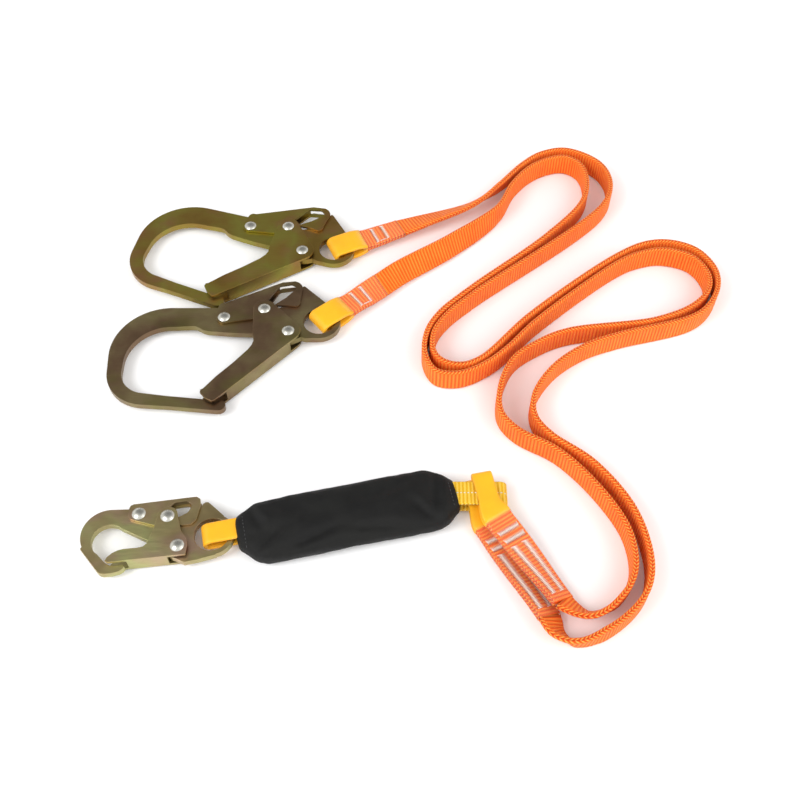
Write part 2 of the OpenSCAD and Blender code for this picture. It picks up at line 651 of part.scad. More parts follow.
module hook_b_gate_spring() {
    big_node(hook_b_at, hook_b_turn, "gate_spring");
}
module hook_b_lever_spring() {
    big_node(hook_b_at, hook_b_turn, "lever_spring");
}
module leg_a_webbing() {
    color(orange) leg(leg_a_full);
}
module leg_a_hook_eye() {
    color(orange) layer(end_a_hook);
}
module leg_a_hook_wear_sleeve() {
    color(yellow) wear_sleeve(end_a_hook);
}
module leg_a_hook_shrink_sleeve() {
    color(film) shrink_sleeve(end_a_hook);
}
module leg_a_hook_stitching() {
    color(white_thread) hook_stitching(end_a_hook);
}
module leg_a_pack_eye() {
    color(orange) layer(end_a_pack);
}
module leg_a_pack_wear_sleeve() {
    color(yellow) wear_sleeve(end_a_pack);
}
module leg_a_pack_shrink_sleeve() {
    color(film) shrink_sleeve(end_a_pack);
}
module leg_a_pack_stitching() {
    color(white_thread) pack_stitching(end_a_pack);
}
module leg_b_webbing() {
    color(orange) leg(leg_b_full);
}
module leg_b_hook_eye() {
    color(orange) layer(end_b_hook);
}
module leg_b_hook_wear_sleeve() {
    color(yellow) wear_sleeve(end_b_hook);
}
module leg_b_hook_shrink_sleeve() {
    color(film) shrink_sleeve(end_b_hook);
}
module leg_b_hook_stitching() {
    color(white_thread) hook_stitching(end_b_hook);
}
module leg_b_pack_eye() {
    color(orange) layer(end_b_pack);
}
module leg_b_pack_wear_sleeve() {
    color(yellow) wear_sleeve(end_b_pack);
}
module leg_b_pack_shrink_sleeve() {
    color(film) shrink_sleeve(end_b_pack);
}
module leg_b_pack_stitching() {
    color(white_thread) pack_stitching(end_b_pack);
}
module absorber_cover() {
    color(black_fabric) pouch_cover();
}
module tear_webbing() {
    color(yellow) in_pouch() lane(tear_path, 0, 36, layer_t);
}
module backup_strap() {
    color(orange) in_pouch() lane(strap_path, 0, 20, 1.8);
}
module snap_hook_loop() {
    color(yellow) swept([for (s = snap_stations(end_snap[3])) snap_ring(s, 0)]);
}
module snap_hook_wear_sleeve() {
    color(yellow) swept_hollow([for (s = snap_stations(20)) snap_ring(s, sleeve_wall)],
        [for (s = snap_stations(20)) snap_ring(s, 0.12)]);
}
module leg_loop() {
    color(yellow) translate([0, leg_loop_from[1], 0])
        lane(leg_loop_path, 0, leg_loop_w, layer_t);
}

snap_hook_body();
snap_hook_gate();
snap_hook_lock_lever();
snap_hook_gate_rivet();
snap_hook_lever_rivet();
snap_hook_catch_pin();
snap_hook_gate_spring();
hook_a_body();
hook_a_gate();
hook_a_lock_lever();
hook_a_gate_rivet();
hook_a_lever_rivet();
hook_a_catch_pin();
hook_a_gate_spring();
hook_a_lever_spring();
hook_b_body();
hook_b_gate();
hook_b_lock_lever();
hook_b_gate_rivet();
hook_b_lever_rivet();
hook_b_catch_pin();
hook_b_gate_spring();
hook_b_lever_spring();
leg_a_webbing();
leg_a_hook_eye();
leg_a_hook_wear_sleeve();
leg_a_hook_shrink_sleeve();
leg_a_hook_stitching();
leg_a_pack_eye();
leg_a_pack_wear_sleeve();
leg_a_pack_shrink_sleeve();
leg_a_pack_stitching();
leg_b_webbing();
leg_b_hook_eye();
leg_b_hook_wear_sleeve();
leg_b_hook_shrink_sleeve();
leg_b_hook_stitching();
leg_b_pack_eye();
leg_b_pack_wear_sleeve();
leg_b_pack_shrink_sleeve();
leg_b_pack_stitching();
absorber_cover();
tear_webbing();
backup_strap();
snap_hook_loop();
snap_hook_wear_sleeve();
leg_loop();
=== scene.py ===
"""Shock absorbing lanyard on a pale floor: the looks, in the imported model's frame, in metres."""

import json
import math
from dataclasses import dataclass

import bmesh
import bpy
from mathutils import Matrix, Vector, noise
from mathutils.bvhtree import BVHTree


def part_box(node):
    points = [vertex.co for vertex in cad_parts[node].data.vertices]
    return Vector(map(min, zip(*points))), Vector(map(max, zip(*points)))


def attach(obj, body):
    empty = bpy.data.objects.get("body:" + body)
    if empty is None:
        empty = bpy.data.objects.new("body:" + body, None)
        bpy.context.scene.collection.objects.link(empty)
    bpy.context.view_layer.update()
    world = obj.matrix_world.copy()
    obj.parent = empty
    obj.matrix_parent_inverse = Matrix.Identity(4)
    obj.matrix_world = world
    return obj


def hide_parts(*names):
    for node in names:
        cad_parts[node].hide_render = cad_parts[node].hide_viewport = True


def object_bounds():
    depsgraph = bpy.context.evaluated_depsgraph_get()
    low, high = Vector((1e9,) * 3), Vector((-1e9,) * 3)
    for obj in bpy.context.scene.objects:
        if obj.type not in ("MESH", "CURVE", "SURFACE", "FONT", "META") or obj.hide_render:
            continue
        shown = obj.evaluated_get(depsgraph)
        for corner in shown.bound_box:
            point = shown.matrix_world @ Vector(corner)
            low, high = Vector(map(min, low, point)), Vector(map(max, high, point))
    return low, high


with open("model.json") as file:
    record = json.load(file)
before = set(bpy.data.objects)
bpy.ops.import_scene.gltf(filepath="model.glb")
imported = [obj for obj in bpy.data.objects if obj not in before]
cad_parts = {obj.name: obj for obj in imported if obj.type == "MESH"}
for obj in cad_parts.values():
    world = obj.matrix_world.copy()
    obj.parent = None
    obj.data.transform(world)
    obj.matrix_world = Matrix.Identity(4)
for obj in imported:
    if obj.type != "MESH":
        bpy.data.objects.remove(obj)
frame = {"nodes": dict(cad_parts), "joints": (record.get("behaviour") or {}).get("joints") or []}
cad_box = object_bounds()
MM = 0.001
UP = Vector((0, 0, 1))


def smooth(t):
    """0 below 0, 1 above 1, and an even S between."""
    t = max(0.0, min(1.0, t))
    return t * t * (3 - 2 * t)


def mix(a, b, t):
    return a + (b - a) * t


# ---- Camera, at the photograph's angle ----
AIM = Vector((0.068, -0.006, 0))
DISTANCE = 1.0
ELEVATION = math.radians(55.5)
LENS, SENSOR = 47.25, 36
camera = bpy.data.objects.new("camera", bpy.data.cameras.new("camera"))
camera.location = AIM + DISTANCE * Vector((0, -math.cos(ELEVATION), math.sin(ELEVATION)))
camera.rotation_euler = (math.pi / 2 - ELEVATION, 0, 0)
camera.data.lens = LENS
camera.data.sensor_width = SENSOR
bpy.context.collection.objects.link(camera)
bpy.context.scene.camera = camera
bpy.context.scene.view_settings.view_transform = "Standard"


# ---- Materials: a small helper that wires nodes ----
class Finish:
    def __init__(self, name, **shader):
        self.material = bpy.data.materials.new(name)
        self.material.use_nodes = True
        self.tree = self.material.node_tree
        self.shader = self.tree.nodes["Principled BSDF"]
        for socket, value in shader.items():
            self.shader.inputs[socket.replace("_", " ")].default_value = value

    def node(self, kind, *inputs, **settings):
        n = self.tree.nodes.new("ShaderNode" + kind)
        for key, value in settings.items():
            setattr(n, key, value)
        for i, value in enumerate(inputs):
            self.put(n.inputs[i], value)
        return n

    def put(self, socket, value):
        if isinstance(value, bpy.types.NodeSocket):
            self.tree.links.new(value, socket)
        elif value is not None:
            socket.default_value = value

    def math(self, operation, a, b=0.0, c=0.0):
        return self.node("Math", a, b, c, operation=operation).outputs[0]

    def wave(self, a):
        """0 to 1 and back as a goes up by 1."""
        turn = self.math("MULTIPLY", a, math.tau)
        return self.math("MULTIPLY_ADD", self.math("SINE", turn), 0.5, 0.5)

    def band(self, a, middle, half, soft):
        """1 where a is within half of middle, fading over soft."""
        off = self.math("ABSOLUTE", self.math("SUBTRACT", a, middle))
        n = self.node("MapRange", off, half, half + soft, 1.0, 0.0)
        return n.outputs[0]

    def mix(self, factor, a, b):
        n = self.tree.nodes.new("ShaderNodeMix")
        n.data_type = "RGBA"
        self.put(n.inputs["Factor"], factor)
        self.put(n.inputs["A"], a if isinstance(a, bpy.types.NodeSocket) else (*a, 1))
        self.put(n.inputs["B"], b if isinstance(b, bpy.types.NodeSocket) else (*b, 1))
        return n.outputs["Result"]

    def noise(self, scale, detail=3.0, where=None, stretch=None):
        where = where or self.node("TexCoord").outputs["Object"]
        if stretch:
            where = self.node("Mapping", where, (0, 0, 0), (0, 0, 0), stretch).outputs[0]
        n = self.node("TexNoise")
        self.put(n.inputs["Vector"], where)
        self.put(n.inputs["Scale"], scale)
        self.put(n.inputs["Detail"], detail)
        return n.outputs[0]

    def ramp(self, factor, stops):
        n = self.node("ValToRGB", factor)
        while len(n.color_ramp.elements) < len(stops):
            n.color_ramp.elements.new(0.5)
        for element, (at, colour) in zip(n.color_ramp.elements, stops):
            element.position = at
            element.color = (*colour, 1)
        return n.outputs[0]

    def remap(self, a, low, high, to_low, to_high):
        return self.node("MapRange", a, low, high, to_low, to_high).outputs[0]

    def colour(self, value):
        self.put(self.shader.inputs["Base Color"], value)

    def rough(self, value):
        self.put(self.shader.inputs["Roughness"], value)

    def bump(self, height, distance, strength=1.0):
        n = self.node("Bump")
        self.put(n.inputs["Strength"], strength)
        self.put(n.inputs["Distance"], distance)
        self.put(n.inputs["Height"], height)
        self.put(self.shader.inputs["Normal"], n.outputs[0])


# The leg webbing's width and thickness, the pitch of its ribs, and one layer of the sewn webbing
WEB_W, WEB_T, PITCH = 25 * MM, 5 * MM, 3.4 * MM
LAYER_T = 2.4 * MM
STITCH_PITCH, THREAD_PITCH, WOBBLE_PITCH = 3.2 * MM, 0.75 * MM, 1.5 * MM


def webbing(name, width, thick, body, seam, highlight_colour, row=None):
    """Ribbed webbing. A band's UV is its length along and its way round the section, in metres.
    body colours the ribs, seam is the painted shade in the grooves, the third colour is the painted
    highlight on the plait's crowns, and row colours a sewn line."""
    f = Finish(name, Roughness=0.65, Specular_IOR_Level=0.18, Sheen_Weight=0.04, Sheen_Roughness=0.5)
    uv = f.node("SeparateXYZ", f.node("UVMap").outputs[0])
    s, v = uv.outputs[0], uv.outputs[1]
    half = (width + thick) / 2
    across = f.math("ABSOLUTE", f.math("SUBTRACT", v, width + thick))
    from_edge = f.math("ABSOLUTE", f.math("SUBTRACT", across, half))
    edge = f.band(across, half, thick / 2, 0.4 * MM)

    wobble = f.math("MULTIPLY", f.wave(f.math("DIVIDE", v, WOBBLE_PITCH)), 0.16)
    rib = f.wave(f.math("ADD", f.math("DIVIDE", s, PITCH), wobble))
    thread = f.wave(f.math("DIVIDE", v, THREAD_PITCH))
    flat = f.math("ADD", f.math("MULTIPLY", rib, 0.8), f.math("MULTIPLY", thread, 0.2))

    slant = f.math("ADD", f.math("DIVIDE", s, PITCH), f.math("DIVIDE", from_edge, PITCH))
    plait = f.wave(slant)
    cleft = f.band(from_edge, 0.0, 0.2 * MM, 0.4 * MM)
    side = f.math("SUBTRACT", plait, cleft)

    height = f.math("ADD", f.math("MULTIPLY", flat, f.math("SUBTRACT", 1.0, edge)),
                    f.math("MULTIPLY", side, edge))
    # Painted shade and highlight: by the ribs' height, the grooves get the darker seam colour and the
    # crowns a lighter colour.
    crown_highlight = tuple(mix(a, b, 0.3) for a, b in zip(body, highlight_colour))
    tone = f.ramp(height, [(0.06, seam), (0.38, body), (0.9, crown_highlight)])
    tone = f.mix(f.remap(f.noise(60.0), 0.4, 0.7, 0.0, 0.22), tone, seam)
    # Painted highlight: light dots on the plait's crowns along the webbing's edges.
    plait_highlights = f.math("MULTIPLY", edge, f.remap(plait, 0.75, 0.95, 0.0, 1.0))
    tone = f.mix(f.math("MULTIPLY", plait_highlights, 0.6), tone, highlight_colour)
    if row:
        stitch = f.band(f.wave(f.math("DIVIDE", s, STITCH_PITCH)), 1.0, 0.45, 0.1)
        dash = f.math("MULTIPLY", f.band(across, 0.0, 0.4 * MM, 0.2 * MM), stitch)
        tone = f.mix(dash, tone, row)
        height = f.math("ADD", height, dash)
    f.colour(tone)
    f.bump(height, 0.9 * MM)
    return f.material


def plain_cloth(name, body, shade, fine=0.5 * MM, rough=0.55, sheen=0.3, shine=0.35):
    """Closely woven cloth with two fine rows of threads across each other."""
    f = Finish(name, Sheen_Weight=sheen, Sheen_Roughness=0.45, Specular_IOR_Level=shine)
    place = f.node("SeparateXYZ", f.node("TexCoord").outputs["Object"])
    x, y, z = place.outputs
    warp = f.wave(f.math("DIVIDE", f.math("ADD", x, z), fine))
    weft = f.wave(f.math("DIVIDE", f.math("SUBTRACT", y, z), fine))
    weave = f.math("MULTIPLY", f.math("ADD", warp, weft), 0.5)
    cloud = f.noise(35.0)
    shading = f.math("ADD", f.math("MULTIPLY", weave, 0.35), f.remap(cloud, 0.35, 0.7, 0.0, 0.6))
    f.colour(f.mix(shading, body, shade))
    f.rough(f.remap(cloud, 0.3, 0.7, rough - 0.08, rough + 0.1))
    f.bump(f.math("ADD", f.math("MULTIPLY", weave, 0.3), f.noise(140.0)), 0.25 * MM)
    return f.material


def plated(name, dark, middle, light, tint):
    """Yellow zinc plating: brushed, clouded, with a faint rainbow and small scratches."""
    f = Finish(name, Metallic=1.0)
    cloud = f.noise(16.0, 4.0)
    drift = f.noise(30.0, 2.0, stretch=(1.0, 1.6, 0.6))
    grain = f.noise(900.0, 2.0, stretch=(0.12, 1.0, 1.0))
    base = f.ramp(cloud, [(0.28, dark), (0.46, middle), (0.6, light), (0.75, middle)])
    base = f.mix(f.remap(drift, 0.5, 0.72, 0.0, 0.65), base, tint)
    f.colour(f.mix(f.math("MULTIPLY", grain, 0.25), base, dark))
    f.rough(f.math("ADD", f.remap(grain, 0.3, 0.7, 0.26, 0.38), f.remap(cloud, 0.3, 0.7, 0.0, 0.1)))
    f.bump(f.math("ADD", grain, f.noise(260.0)), 0.06 * MM)
    return f.material


def bright_metal(name, base, rough):
    """Bare steel with faint marks."""
    f = Finish(name, Metallic=1.0)
    marks = f.noise(420.0, 4.0)
    f.colour(f.mix(f.remap(marks, 0.4, 0.7, 0.0, 0.5), base, tuple(c * 0.6 for c in base)))
    f.rough(f.remap(marks, 0.3, 0.7, rough, rough + 0.18))
    f.bump(marks, 0.08 * MM)
    return f.material


LOOP_W, INNER_W = 23 * MM, 36 * MM
# Each webbing's ribs, the painted shade in its grooves and the painted highlight on its plait crowns
ORANGE = ((1.0, 0.20, 0.006), (0.84, 0.062, 0.001), (1.0, 0.50, 0.12))
GOLDEN = ((0.92, 0.56, 0.012), (0.66, 0.32, 0.006), (1.0, 0.8, 0.3))
SAND = ((0.8, 0.7, 0.35), (0.5, 0.4, 0.15), (0.9, 0.85, 0.6))
CREAM = (0.9, 0.85, 0.7)
leg_cloth = webbing("leg_webbing", WEB_W, WEB_T, *ORANGE)
eye_cloth = webbing("leg_eye_webbing", WEB_W, LAYER_T, *ORANGE)
loop_cloth = webbing("loop_webbing", LOOP_W, LAYER_T, *GOLDEN, row=CREAM)
inner_cloth = webbing("inner_webbing", INNER_W, LAYER_T, *SAND)
sleeve_cloth = plain_cloth("wear_sleeve", (0.92, 0.46, 0.012), (0.80, 0.35, 0.008),
                           fine=0.7 * MM, rough=0.38, sheen=0.05)
thread_cloth = plain_cloth("thread", (0.96, 0.88, 0.82), (0.88, 0.70, 0.62), 0.3 * MM, 0.5)
cover_cloth = plain_cloth("cover", (0.005, 0.005, 0.005), (0.012, 0.012, 0.011),
                          fine=0.55 * MM, rough=0.6, sheen=0.0, shine=0.16)
cover_thread = plain_cloth("cover_thread", (0.05, 0.05, 0.055), (0.03, 0.03, 0.03), 0.3 * MM, 0.5)
olive = plated("hook_plating", dark=(0.16, 0.10, 0.022), middle=(0.31, 0.20, 0.045),
               light=(0.33, 0.30, 0.06), tint=(0.38, 0.17, 0.09))
brown = plated("hook_plating_b", dark=(0.12, 0.075, 0.042), middle=(0.22, 0.14, 0.08),
               light=(0.31, 0.25, 0.12), tint=(0.22, 0.20, 0.06))
pale = plated("small_hook_plating", dark=(0.25, 0.18, 0.085), middle=(0.42, 0.33, 0.16),
              light=(0.46, 0.46, 0.20), tint=(0.52, 0.31, 0.26))
rivet_steel = bright_metal("rivet_steel", (0.50, 0.49, 0.44), 0.22)
spring_steel = bright_metal("spring_steel", (0.55, 0.55, 0.55), 0.25)


def clear_film():
    """Clear shrink sleeve, a little puckered."""
    f = Finish("shrink_film", Base_Color=(1.0, 0.78, 0.66, 1), Roughness=0.12, Alpha=0.06,
               Coat_Weight=0.6, Coat_Roughness=0.08)
    f.bump(f.noise(55.0, 2.0), 1.2 * MM)
    return f.material


film = clear_film()


# ---- Bands: a section swept along a row of stations ----
def section(width, thick, across=9):
    """Points of a flat section with rounded edges, from the middle of its underside and back."""
    w, t = width / 2, thick / 2
    r = 0.35 * thick
    corner = r * math.cos(math.pi / 4)
    top = [(-w + r + 2 * (w - r) * i / (across - 1), t) for i in range(across)]
    right = [(w - r + corner, -t + r - corner), (w, -t + r), (w, 0), (w, t - r),
             (w - r + corner, t - r + corner)]
    under = [(x, -t) for x, _ in top]
    half = len(under) // 2
    left = [(-x, -y) for x, y in right]
    return under[half:] + right + top[::-1] + left + under[:half + 1]


def way_round(points):
    """How far round the section each point is, scaled to twice the width and the thickness."""
    d = [0.0]
    for a, b in zip(points, points[1:]):
        d.append(d[-1] + math.dist(a, b))
    width = max(p[0] for p in points) * 2
    thick = max(p[1] for p in points) * 2
    return [x / d[-1] * 2 * (width + thick) for x in d]


def make_mesh(name, verts, faces, uvs=None, material=None):
    """A smooth shaded object, with one UV for each vertex if there are any."""
    mesh = bpy.data.meshes.new(name)
    mesh.from_pydata(verts, [], faces)
    if uvs:
        layer = mesh.uv_layers.new(name="UVMap")
        for loop in mesh.loops:
            layer.data[loop.index].uv = uvs[loop.vertex_index]
    mesh.polygons.foreach_set("use_smooth", [True] * len(mesh.polygons))
    obj = bpy.data.objects.new(name, mesh)
    bpy.context.collection.objects.link(obj)
    if material:
        mesh.materials.append(material)
    return obj


def sweep(name, stations, material, body, capped=True):
    """stations are (middle, across, up, section points). The section's last point is its first."""
    verts, uvs, faces = [], [], []
    along, last = 0.0, stations[0][0]
    for middle, across, up, points in stations:
        along += (middle - last).length
        last = middle
        for (x, y), v in zip(points, way_round(points)):
            verts.append(middle + across * x + up * y)
            uvs.append((along, v))
    n = len(stations[0][3])
    for i in range(len(stations) - 1):
        for j in range(n - 1):
            a = i * n + j
            faces.append((a, a + n, a + n + 1, a + 1))
    if capped:
        faces.append(tuple(range(n - 1)))
        end = (len(stations) - 1) * n
        faces.append(tuple(end + j for j in reversed(range(n - 1))))
    obj = make_mesh(name, verts, faces, uvs, material)
    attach(obj, body)
    return obj


def direction_at(path, i):
    """The way the path goes at its point i, from the points beside it."""
    return (path[min(i + 1, len(path) - 1)] - path[max(i - 1, 0)]).normalized()


def threads(name, paths, radius, material, body):
    """Round threads along rows of points, as one piece."""
    sides = 5
    verts, faces = [], []
    for path in paths:
        start = len(verts)
        for i, p in enumerate(path):
            ahead = direction_at(path, i)
            side = ahead.orthogonal().normalized()
            over = ahead.cross(side)
            for k in range(sides):
                a = math.tau * k / sides
                verts.append(p + radius * (math.cos(a) * side + math.sin(a) * over))
        for i in range(len(path) - 1):
            for k in range(sides):
                a, b = start + i * sides + k, start + i * sides + (k + 1) % sides
                faces.append((a, b, b + sides, a + sides))
    obj = make_mesh(name, verts, faces, None, material)
    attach(obj, body)
    return obj


# ---- The legs: free webbing from hook to pouch ----
# Each point: x, y, height of the middle in metres, and the webbing's lean in degrees
# (0 flat, 90 on edge, 180 flat and turned over).
LEG_A_ROUTE = [
    (0.089, 0.215, 0.012, 160), (0.142, 0.238, 0.013, 135), (0.172, 0.263, 0.013, 112),
    (0.200, 0.291, 0.013, 97), (0.222, 0.307, 0.013, 90), (0.248, 0.314, 0.013, 90),
    (0.272, 0.305, 0.013, 90), (0.289, 0.288, 0.013, 90), (0.295, 0.262, 0.013, 90),
    (0.283, 0.229, 0.013, 90), (0.139, 0.105, 0.013, 90), (0.113, 0.079, 0.013, 90),
    (0.101, 0.058, 0.013, 90), (0.100, 0.036, 0.013, 90), (0.108, 0.024, 0.013, 90),
    (0.125, 0.019, 0.013, 90), (0.144, 0.026, 0.013, 90), (0.196, 0.080, 0.013, 90),
    (0.291, 0.158, 0.013, 90), (0.322, 0.174, 0.013, 90), (0.346, 0.176, 0.013, 90),
    (0.372, 0.165, 0.013, 90), (0.387, 0.139, 0.013, 90), (0.386, 0.116, 0.013, 90),
    (0.373, 0.092, 0.013, 90), (0.354, 0.077, 0.013, 90), (0.279, 0.055, 0.013, 90),
    (0.245, 0.041, 0.013, 90), (0.213, 0.016, 0.013, 90), (0.193, -0.016, 0.013, 90),
    (0.192, -0.039, 0.013, 90), (0.204, -0.058, 0.013, 90), (0.241, -0.089, 0.013, 90),
    (0.270, -0.134, 0.013, 90), (0.279, -0.178, 0.013, 90), (0.275, -0.205, 0.013, 90),
    (0.262, -0.225, 0.013, 90), (0.234, -0.246, 0.013, 90), (0.210, -0.253, 0.013, 75),
    (0.196, -0.244, 0.012, 50),
]
LEG_B_ROUTE = [
    (0.067, 0.143, 0.012, 38), (0.122, 0.181, 0.013, 62), (0.172, 0.226, 0.013, 88),
    (0.190, 0.262, 0.013, 90), (0.210, 0.286, 0.013, 90), (0.231, 0.299, 0.013, 90),
    (0.250, 0.302, 0.013, 90), (0.265, 0.291, 0.013, 90), (0.270, 0.266, 0.013, 90),
    (0.262, 0.235, 0.013, 90), (0.220, 0.185, 0.013, 90), (0.139, 0.114, 0.013, 90),
    (0.106, 0.081, 0.013, 90), (0.094, 0.058, 0.013, 90), (0.092, 0.032, 0.013, 90),
    (0.102, 0.012, 0.013, 90), (0.124, 0.009, 0.013, 90), (0.150, 0.021, 0.013, 90),
    (0.172, 0.040, 0.013, 90), (0.200, 0.071, 0.013, 90), (0.289, 0.147, 0.013, 90),
    (0.313, 0.160, 0.013, 90), (0.339, 0.165, 0.013, 90), (0.367, 0.155, 0.013, 90),
    (0.379, 0.132, 0.013, 90), (0.376, 0.112, 0.013, 90), (0.358, 0.092, 0.013, 90),
    (0.319, 0.074, 0.013, 90), (0.231, 0.060, 0.013, 90), (0.201, 0.046, 0.013, 90),
    (0.176, 0.026, 0.013, 90), (0.162, -0.006, 0.013, 90), (0.161, -0.034, 0.013, 90),
    (0.174, -0.053, 0.013, 90), (0.211, -0.077, 0.013, 90), (0.245, -0.118, 0.013, 90),
    (0.264, -0.158, 0.013, 90), (0.264, -0.194, 0.013, 90), (0.248, -0.218, 0.013, 85),
    (0.224, -0.229, 0.013, 62),
]


def heading(degrees):
    """The way along the floor at that angle from +x."""
    return Vector((math.cos(math.radians(degrees)), math.sin(math.radians(degrees)), 0))


# The gap between closed layers, the thread, the sleeve's and film's thickness, where an end turns
# to its second direction, and the spacing of the stations
PLY_GAP = 0.17 * MM
THREAD_R, THREAD_STEP, THREAD_LIFT = 0.32 * MM, 1.3 * MM, 0.35 * MM
SLEEVE_T, FILM_T = 0.6 * MM, 0.55 * MM
TURN_FROM, TURN_OVER = 26 * MM, 20 * MM
STATION_STEP = 3 * MM


@dataclass
class SewnEnd:
    """A leg's end: the webbing folds round a bar, comes back and is sewn to itself.
    Lengths run from the fold, angles are in degrees."""

    fold: Vector
    aim: float
    aim_after: float
    length: float
    z: float
    far_z: float
    far_roll: float
    # Half the gap round the bar, how far it stays open, and where it is closed
    half: float
    open_to: float
    closed_from: float
    # The webbing's width in the fold, the sleeve's end and the film's start
    width: float
    sleeve: float
    film_from: float

    def way(self, u):
        return mix(self.aim, self.aim_after, smooth((u - TURN_FROM) / TURN_OVER))

    def closing(self, u):
        return smooth((u - self.closed_from) / (self.length - self.closed_from))

    def spine(self, u):
        """The middle between the two layers at u."""
        steps = max(1, math.ceil(abs(u) / (4 * MM)))
        ways = [heading(self.way((i + 0.5) * u / steps)) for i in range(steps)]
        flat = sum(ways, Vector()) * (u / steps)
        return self.fold + flat + UP * mix(self.z, self.far_z, self.closing(u))

    def axes(self, u):
        """Ahead, across and up at u."""
        roll = math.radians(self.far_roll * self.closing(u))
        ahead = heading(self.way(u))
        left = UP.cross(ahead)
        return (ahead, math.cos(roll) * left + math.sin(roll) * UP,
                math.cos(roll) * UP - math.sin(roll) * left)

    def half_gap(self, u):
        """From the spine to the middle of a layer."""
        closed = LAYER_T / 2 + PLY_GAP
        opened = smooth((self.closed_from - u) / (self.closed_from - self.open_to))
        return mix(closed, self.half, opened)

    def width_at(self, u):
        return mix(self.width, WEB_W, smooth((u - self.open_to + 12 * MM) / (20 * MM)))

    def stations(self, far):
        """(distance, angle round the fold) along the lower strand, round, and back."""
        bend = self.half + 1 * MM
        count = max(2, round((far - bend) / STATION_STEP))
        out = [mix(bend, far, i / count) for i in range(count + 1)]
        turn = [(self.half * (1 - math.cos(math.radians(a))), a) for a in range(-80, 81, 10)]
        return [(u, -90) for u in reversed(out)] + turn + [(u, 90) for u in out]

    def layer(self, name, far, extra, material, body, wrinkle=0.0):
        """The folded webbing up to far, or a sleeve over it that is thicker by extra."""
        rows = []
        for u, angle in self.stations(far):
            ahead, across, up = self.axes(u)
            half = self.half_gap(u) if abs(angle) == 90 else self.half
            c, s = math.cos(math.radians(angle)), math.sin(math.radians(angle))
            middle = self.spine(u) + up * (s * half)
            spread = 1 + wrinkle * 0.12 * noise.noise(middle * 90)
            puff = 1 + wrinkle * noise.noise(middle * 160)
            outline = section(self.width_at(u) * spread + 2 * extra, (LAYER_T + 2 * extra) * puff)
            rows.append((middle, across, -c * ahead + s * up, outline))
        return sweep(name, rows, material, body)

    def top(self, u, v, over):
        """A point on the upper face (over > 0) or the lower face (over < 0)."""
        ahead, across, up = self.axes(u)
        side = 1 if over > 0 else -1
        return self.spine(u) + across * v + up * (side * (self.half_gap(u) + LAYER_T / 2) + over)

    def film(self, name, body):
        """The clear sleeve, open at both ends, that steps down off the wear sleeve's end."""
        rows = []
        far = self.length - 0.5 * MM
        count = round((far - self.film_from) / (2 * MM))
        for i in range(count + 1):
            u = mix(self.film_from, far, i / count)
            ahead, across, up = self.axes(u)
            over_sleeve = 0.75 * MM * smooth((self.sleeve + 7 * MM - u) / (5 * MM))
            crimp = 1 + 0.02 * noise.noise(self.spine(u) * 220)
            wide = (self.width_at(u) + 2.2 * MM) * crimp
            thick = 2 * (self.half_gap(u) + LAYER_T / 2 + FILM_T + over_sleeve)
            rows.append((self.spine(u), across, up, section(wide, thick, 15)))
        return sweep(name, rows, film, body, capped=False)

    def zigzag(self, u0, u1, v0, v1, side):
        """Thread that crosses from one side of a row to the other, sewn through the face."""
        lift = THREAD_LIFT * side
        long = u1 - u0 > abs(v1 - v0)
        count = max(2, round((u1 - u0 if long else v1 - v0) / THREAD_STEP))
        path = []
        for i in range(count * 4 + 1):
            t = i / (count * 4)
            w = [0.0, 0.5, 1.0, 0.5][i % 4]
            u, v = (mix(u0, u1, t), mix(v0, v1, w)) if long else (mix(u0, u1, w), mix(v0, v1, t))
            path.append(self.top(u, v, lift * (1.0 if i % 2 else 0.4)))
        return path


def catmull(p, q, r, s, t):
    """A smooth way from q to r, with p before and s after, for unevenly spaced points."""
    a, b, c = (max(d.length, 1e-6) ** 0.5 for d in (q - p, r - q, s - r))
    m = b * ((q - p) / a - (r - p) / (a + b) + (r - q) / b)
    n = b * ((r - q) / b - (s - q) / (b + c) + (s - r) / c)
    return ((2 * t ** 3 - 3 * t ** 2 + 1) * q + (t ** 3 - 2 * t ** 2 + t) * m
            + (3 * t ** 2 - 2 * t ** 3) * r + (t ** 3 - t ** 2) * n)


def leg(letter, route, start, start_lean, end):
    """The free webbing of a leg, from one sewn end to the other."""
    first, last = start.spine(start.length), end.spine(end.length)
    points = ([(first, start_lean)] + [(Vector(p[:3]), p[3]) for p in route]
              + [(last, -end.far_roll)])
    # One more place inside each sewn end, so that the webbing leaves it straight
    inside = 20 * MM
    places = ([first - start.axes(start.length)[0] * inside] + [p for p, _ in points]
              + [last - end.axes(end.length)[0] * inside])
    path, lean = [], []
    for i in range(len(points) - 1):
        (near, near_lean), (far, far_lean) = points[i:i + 2]
        count = max(3, round((far - near).length / (3.5 * MM)))
        for k in range(count + (i == len(points) - 2)):
            path.append(catmull(*places[i:i + 4], k / count))
            lean.append(math.radians(mix(near_lean, far_lean, k / count)))
    rows = []
    for i, p in enumerate(path):
        ahead = direction_at(path, i)
        left = UP.cross(ahead).normalized()
        across = math.cos(lean[i]) * left + math.sin(lean[i]) * UP
        rows.append((p, across, ahead.cross(across), section(WEB_W, WEB_T, 7)))
    obj = sweep(f"leg_{letter}_cord", rows, leg_cloth, "absorber")
    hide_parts(f"leg_{letter}_webbing")


